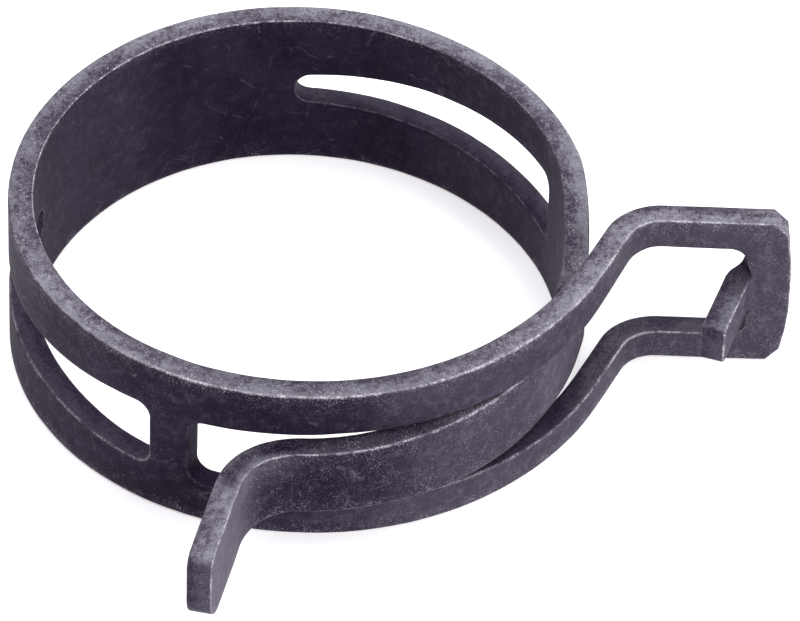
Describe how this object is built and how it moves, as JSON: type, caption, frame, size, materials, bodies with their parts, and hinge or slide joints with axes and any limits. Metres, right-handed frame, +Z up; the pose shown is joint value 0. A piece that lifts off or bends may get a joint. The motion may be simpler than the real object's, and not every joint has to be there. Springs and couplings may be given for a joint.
{
  "type": "spring band hose clamp",
  "caption": "Constant-tension spring band hose clamp: a slotted steel strip rolled into a ring, with pinch ears, a sliding tongue and a retaining hook.",
  "frame": {"origin": "on the surface the clamp stands on, under the middle of its bounding box", "axes": "+Z up along the ring's axis; +X from the ring towards the yoke ear; the pull ear points to -Y"},
  "size_m": [0.0646, 0.0636, 0.015],
  "materials": {
    "blackened_spring_steel": "black phosphate and oil on spring steel, satin, paler and mottled on the cut edges, with fine bright wear along the corners"
  },
  "bodies": {
    "back_band": {"back_band": "blackened_spring_steel"},
    "side_band": {"side_band": "blackened_spring_steel"},
    "side_rails": {"side_upper_rail": "blackened_spring_steel", "side_lower_rail": "blackened_spring_steel"},
    "crosspiece": {"crosspiece": "blackened_spring_steel"},
    "front_rails_3": {"front_upper_rail_3": "blackened_spring_steel", "front_lower_rail_3": "blackened_spring_steel"},
    "front_rails_2": {"front_upper_rail_2": "blackened_spring_steel", "front_lower_rail_2": "blackened_spring_steel"},
    "front_rails_1": {"front_upper_rail_1": "blackened_spring_steel", "front_lower_rail_1": "blackened_spring_steel"},
    "yoke": {"yoke_crossbar": "blackened_spring_steel", "yoke_upper_arm": "blackened_spring_steel", "yoke_lower_arm": "blackened_spring_steel", "retaining_hook": "blackened_spring_steel"},
    "rear_band": {"rear_band": "blackened_spring_steel"},
    "slot_band": {"slot_band": "blackened_spring_steel"},
    "slot_rails": {"slot_upper_rail": "blackened_spring_steel", "slot_lower_rail": "blackened_spring_steel"},
    "shoulder": {"shoulder": "blackened_spring_steel"},
    "tongue_1": {"tongue_1": "blackened_spring_steel"},
    "tongue_2": {"tongue_2": "blackened_spring_steel"},
    "tongue_3": {"tongue_3": "blackened_spring_steel"},
    "pull_ear": {"pull_ear": "blackened_spring_steel"}
  },
  "joints": [
    {"name": "rear_band_flex", "type": "hinge", "parent": "back_band", "child": "rear_band", "pos_m": [-0.02313, 0.02527, 0.0075], "axis": [0, 0, 1], "range_deg": [0, 3.5], "stiffness_Nm_per_rad": 1967},
    {"name": "slot_band_flex", "type": "hinge", "parent": "rear_band", "child": "slot_band", "pos_m": [-0.01394, 0.03014, 0.0075], "axis": [0, 0, 1], "range_deg": [0, 3.5]},
    {"name": "slot_rails_flex", "type": "hinge", "parent": "slot_band", "child": "slot_rails", "pos_m": [-0.00087, 0.02936, 0.0075], "axis": [0, 0, 1], "range_deg": [0, 3.5]},
    {"name": "shoulder_flex", "type": "hinge", "parent": "slot_rails", "child": "shoulder", "pos_m": [0.00962, 0.02146, 0.0075], "axis": [0, 0, 1], "range_deg": [0, 3.5]},
    {"name": "tongue_1_flex", "type": "hinge", "parent": "shoulder", "child": "tongue_1", "pos_m": [0.01438, 0.00912, 0.0075], "axis": [0, 0, 1], "range_deg": [0, 3.5]},
    {"name": "tongue_2_flex", "type": "hinge", "parent": "tongue_1", "child": "tongue_2", "pos_m": [0.01269, -0.00286, 0.0075], "axis": [0, 0, 1], "range_deg": [0, 3.5]},
    {"name": "tongue_3_flex", "type": "hinge", "parent": "tongue_2", "child": "tongue_3", "pos_m": [0.00584, -0.01281, 0.0075], "axis": [0, 0, 1], "range_deg": [0, 3.5]},
    {"name": "pull_ear_flex", "type": "hinge", "parent": "tongue_3", "child": "pull_ear", "pos_m": [-0.00496, -0.01786, 0.0075], "axis": [0, 0, 1], "range_deg": [0, 3.5]},
    {"name": "side_band_flex", "type": "hinge", "parent": "back_band", "child": "side_band", "pos_m": [-0.02927, 0.01686, 0.0075], "axis": [0, 0, -1], "range_deg": [0, 3.5]},
    {"name": "side_rails_flex", "type": "hinge", "parent": "side_band", "child": "side_rails", "pos_m": [-0.0308, 0.00267, 0.0075], "axis": [0, 0, -1], "range_deg": [0, 3.5]},
    {"name": "crosspiece_flex", "type": "hinge", "parent": "side_rails", "child": "crosspiece", "pos_m": [-0.02387, -0.00981, 0.0075], "axis": [0, 0, -1], "range_deg": [0, 3.5]},
    {"name": "front_rails_3_flex", "type": "hinge", "parent": "crosspiece", "child": "front_rails_3", "pos_m": [-0.01102, -0.01602, 0.0075], "axis": [0, 0, -1], "range_deg": [0, 3.5]},
    {"name": "front_rails_2_flex", "type": "hinge", "parent": "front_rails_3", "child": "front_rails_2", "pos_m": [-0.00015, -0.01514, 0.0075], "axis": [0, 0, -1], "range_deg": [0, 3.5]},
    {"name": "front_rails_1_flex", "type": "hinge", "parent": "front_rails_2", "child": "front_rails_1", "pos_m": [0.00925, -0.0096, 0.0075], "axis": [0, 0, -1], "range_deg": [0, 3.5]},
    {"name": "yoke_flex", "type": "hinge", "parent": "front_rails_1", "child": "yoke", "pos_m": [0.0156, -0.00071, 0.0075], "axis": [0, 0, -1], "range_deg": [0, 3.5]}
  ],
  "couplings": [
    {"joint": "slot_band_flex", "follows": "rear_band_flex", "ratio": 1},
    {"joint": "slot_rails_flex", "follows": "rear_band_flex", "ratio": 1},
    {"joint": "shoulder_flex", "follows": "rear_band_flex", "ratio": 1},
    {"joint": "tongue_1_flex", "follows": "rear_band_flex", "ratio": 1},
    {"joint": "tongue_2_flex", "follows": "rear_band_flex", "ratio": 1},
    {"joint": "tongue_3_flex", "follows": "rear_band_flex", "ratio": 1},
    {"joint": "pull_ear_flex", "follows": "rear_band_flex", "ratio": 1},
    {"joint": "side_band_flex", "follows": "rear_band_flex", "ratio": 1},
    {"joint": "side_rails_flex", "follows": "rear_band_flex", "ratio": 1},
    {"joint": "crosspiece_flex", "follows": "rear_band_flex", "ratio": 1},
    {"joint": "front_rails_3_flex", "follows": "rear_band_flex", "ratio": 1},
    {"joint": "front_rails_2_flex", "follows": "rear_band_flex", "ratio": 1},
    {"joint": "front_rails_1_flex", "follows": "rear_band_flex", "ratio": 1},
    {"joint": "yoke_flex", "follows": "rear_band_flex", "ratio": 1}
  ]
}
